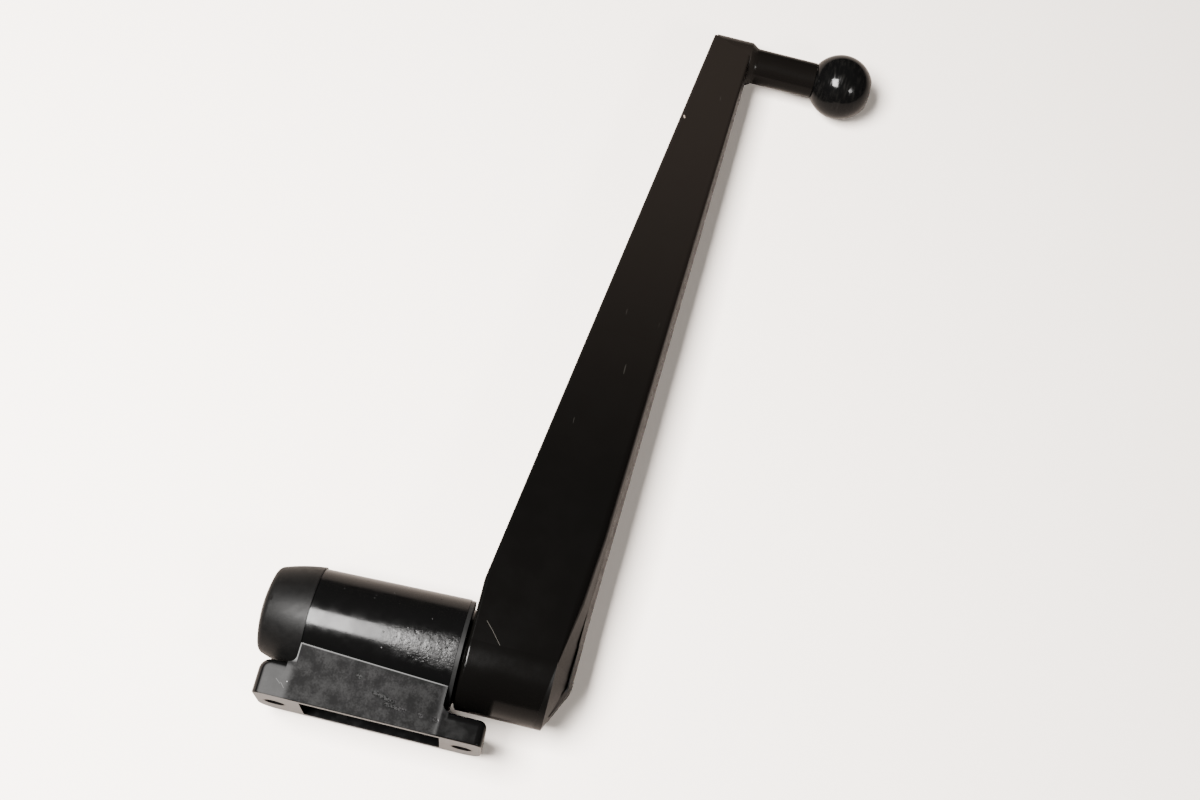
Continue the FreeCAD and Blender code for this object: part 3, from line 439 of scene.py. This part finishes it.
def moulded(name, colour, roughness, grain, depth):
    """Black injection moulding, with a faint grain and uneven shine."""
    recipe = Recipe(name, colour, roughness, ior=MOULDED_IOR)
    pale = tuple(1.8 * channel for channel in colour)
    tone = recipe.blend(recipe.noise(5 * MM, 4.0), colour, pale)
    tone, dust = add_dust(recipe, tone, 0.04, 0.6)
    recipe.set("Base Color", tone)
    shine = recipe.ramp(recipe.noise(4 * MM, 4.0), 0.3, 0.7, roughness * 0.8, roughness * 1.25)
    recipe.set("Roughness", recipe.math("MAXIMUM", shine, dust))
    recipe.bump(recipe.noise(grain, 3.0), depth)
    return recipe.done()


def knob_plastic():
    """Polished black ball, handled: fine wear where the palm turns it."""
    recipe = Recipe("knob_plastic", (0.0015, 0.0015, 0.0015), 0.12, ior=KNOB_IOR)
    lines = recipe.noise(0.8 * MM, 2.0, recipe.stretched((1.0, 0.15, 0.15)))
    wear = recipe.ramp(lines, 0.45, 0.75, 0.0, 1.0)
    recipe.set("Base Color", recipe.blend(wear, (0.0015, 0.0015, 0.0015), (0.004, 0.0038, 0.0035)))
    recipe.set("Roughness", recipe.blend(wear, 0.12, 0.26))
    recipe.bump(recipe.noise(2.5 * MM, 1.0), 0.006 * MM)
    recipe.bump(lines, 0.004 * MM)
    return recipe.done()


def turned_metal(name, dark, light, roughness):
    """Machined metal, with tool marks round the spindle's direction and a few stains."""
    recipe = Recipe(name, dark, roughness, metallic=1.0)
    grooves = recipe.noise(0.25 * MM, 3.0, recipe.stretched((1.0, 0.1, 0.1)))
    stains = recipe.noise(4 * MM, 5.0, lumps=0.65)
    recipe.set("Base Color", recipe.blend(recipe.math("MULTIPLY", grooves, stains), dark, light))
    recipe.set("Roughness", recipe.ramp(grooves, 0.3, 0.7, roughness * 0.8, roughness * 1.3))
    recipe.bump(grooves, 0.02 * MM)
    return recipe.done()


def seal_rubber():
    recipe = Recipe("seal_rubber", (0.012, 0.012, 0.012), 0.7)
    recipe.set("Roughness", recipe.ramp(recipe.noise(1.5 * MM, 4.0), 0.3, 0.7, 0.6, 0.85))
    recipe.bump(recipe.noise(0.4 * MM, 3.0), 0.02 * MM)
    return recipe.done()


def friction_lining():
    """Pressed fibre, with brass-coloured flecks."""
    recipe = Recipe("friction_lining", (0.20, 0.12, 0.07), 0.85)
    fibres = recipe.noise(0.6 * MM, 5.0, lumps=0.7)
    flecks = specks(recipe, 1.2 * MM, 0.25 * MM, 0.3)
    tone = recipe.blend(fibres, (0.10, 0.06, 0.035), (0.30, 0.19, 0.11))
    recipe.set("Base Color", recipe.blend(flecks, tone, (0.55, 0.38, 0.15)))
    recipe.bump(fibres, 0.06 * MM)
    return recipe.done()


def make_materials():
    """One material for each slot in the record."""
    return {
        "housing_paint": housing_paint(),
        "arm_paint": arm_paint(),
        "cap_plastic": cap_plastic(),
        "cover_plastic": moulded("cover_plastic", (0.002, 0.0018, 0.0017), 0.33, 1.5 * MM, 0.01 * MM),
        "knob_plastic": knob_plastic(),
        "washer_plastic": moulded("washer_plastic", (0.004, 0.004, 0.004), 0.4, 0.6 * MM, 0.02 * MM),
        "bearing_bronze": turned_metal("bearing_bronze", (0.36, 0.20, 0.08), (0.70, 0.45, 0.20), 0.32),
        "steel": turned_metal("steel", (0.30, 0.30, 0.31), (0.66, 0.65, 0.64), 0.28),
        "dark_steel": turned_metal("dark_steel", (0.018, 0.018, 0.020), (0.07, 0.07, 0.075), 0.38),
        "spring_steel": turned_metal("spring_steel", (0.12, 0.12, 0.14), (0.36, 0.36, 0.38), 0.3),
        "seal_rubber": seal_rubber(),
        "friction_lining": friction_lining()}


def paint_nodes(materials):
    for subpart in frame["record"]["subparts"]:
        mesh = nodes[subpart["node"]].data
        mesh.materials.clear()
        mesh.materials.append(materials[subpart["material_slot"]])


# ---------------------------------------------------------------- small pieces on the surfaces

def new_piece(name, vertices, faces, body, slot, material, smooth=True):
    mesh = bpy.data.meshes.new(name)
    mesh.from_pydata(vertices, [], faces)
    mesh.update()
    mesh.materials.append(material)
    if smooth:
        mesh.shade_smooth()
    piece = bpy.data.objects.new(name, mesh)
    bpy.context.scene.collection.objects.link(piece)
    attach(piece, body)
    return piece


def lump(centre, outward, radius, height, sides=9, rings=3):
    """Irregular low drop of paint on a surface: vertices and faces."""
    across = outward.orthogonal().normalized()
    along = outward.cross(across)
    vertices = []
    phase = seeded.uniform(0, math.tau)
    oval = seeded.uniform(0.75, 1.3)
    for ring in range(rings):
        out = 1 - ring / rings
        rise = height * (1 - out ** 2) - 0.3 * height
        for side in range(sides):
            angle = math.tau * side / sides
            reach = radius * out * (1 + 0.18 * math.sin(3 * angle + phase))
            vertices.append(centre + outward * rise + across * (reach * oval * math.cos(angle))
                            + along * (reach / oval * math.sin(angle)))
    vertices.append(centre + outward * 0.72 * height)
    faces = []
    for ring in range(rings - 1):
        for side in range(sides):
            ahead = (side + 1) % sides
            low, high = ring * sides, (ring + 1) * sides
            faces.append((low + side, low + ahead, high + ahead, high + side))
    top = len(vertices) - 1
    faces += [(top - sides + side, top - sides + (side + 1) % sides, top) for side in range(sides)]
    return vertices, faces


def join(lumps):
    vertices = []
    faces = []
    for some_vertices, some_faces in lumps:
        start = len(vertices)
        vertices += some_vertices
        faces += [tuple(start + corner for corner in face) for face in some_faces]
    return vertices, faces


def barrel_point(x, turn):
    """Point on the barrel's tapered side, turned from the top towards the foot, and its normal."""
    radius = barrel_radius_left + barrel_taper * (x - barrel_left)
    outward = Vector((0, -math.sin(turn), math.cos(turn)))
    return Vector((x, axis_y, axis_z)) + radius * outward, outward


def make_barrel_pimples(material):
    """Dirt caught in the paint: a crowd of specks near the barrel's right end, and a few anywhere."""
    crowd = 90
    strays = 16
    lumps = []
    for _ in range(crowd):
        x = barrel_right - 1 * MM - abs(seeded.gauss(0, 11 * MM))
        turn = math.radians(seeded.gauss(14, 7))
        if x > barrel_left + 2 * MM and turn < math.radians(26):
            lumps.append(lump(*barrel_point(x, turn), seeded.uniform(0.18, 0.5) * MM,
                              seeded.uniform(0.1, 0.3) * MM))
    for _ in range(strays):
        x = seeded.uniform(barrel_left + 3 * MM, barrel_right - 3 * MM)
        turn = math.radians(seeded.uniform(-60, 20))
        lumps.append(lump(*barrel_point(x, turn), seeded.uniform(0.12, 0.3) * MM,
                          seeded.uniform(0.05, 0.14) * MM))
    new_piece("barrel_pimples", *join(lumps), "housing", "housing_paint", material)


def make_hole_threads(material):
    """Thread in both tapped holes: a ridge that winds down the core."""
    pitch = 1.5 * MM
    turns = 5
    steps = 40
    ridge = 0.35 * MM
    root = 0.05 * MM
    flank = 0.3 * pitch
    first_turn = 0.5 * MM
    for name, side in (("left", -1), ("right", 1)):
        vertices = []
        for step in range(turns * steps + 1):
            angle = math.tau * step / steps
            depth = first_turn + pitch * step / steps
            outward = Vector((math.cos(angle), 0, math.sin(angle)))
            centre = Vector((side * hole_spacing / 2, depth, 0))
            for reach, rise in ((root, -flank), (-ridge, 0), (root, flank)):
                vertices.append(centre + outward * (hole_radius + reach) + Vector((0, rise, 0)))
        faces = []
        for step in range(turns * steps):
            for line in (0, 1):
                corner = 3 * step + line
                faces.append((corner, corner + 1, corner + 4, corner + 3))
        new_piece("thread_" + name, vertices, faces, "housing", "housing_paint", material, smooth=False)


materials = make_materials()
make_camera()
make_floor()
make_lights()
paint_nodes(materials)
make_barrel_pimples(materials["housing_paint"])
make_hole_threads(materials["dark_steel"])
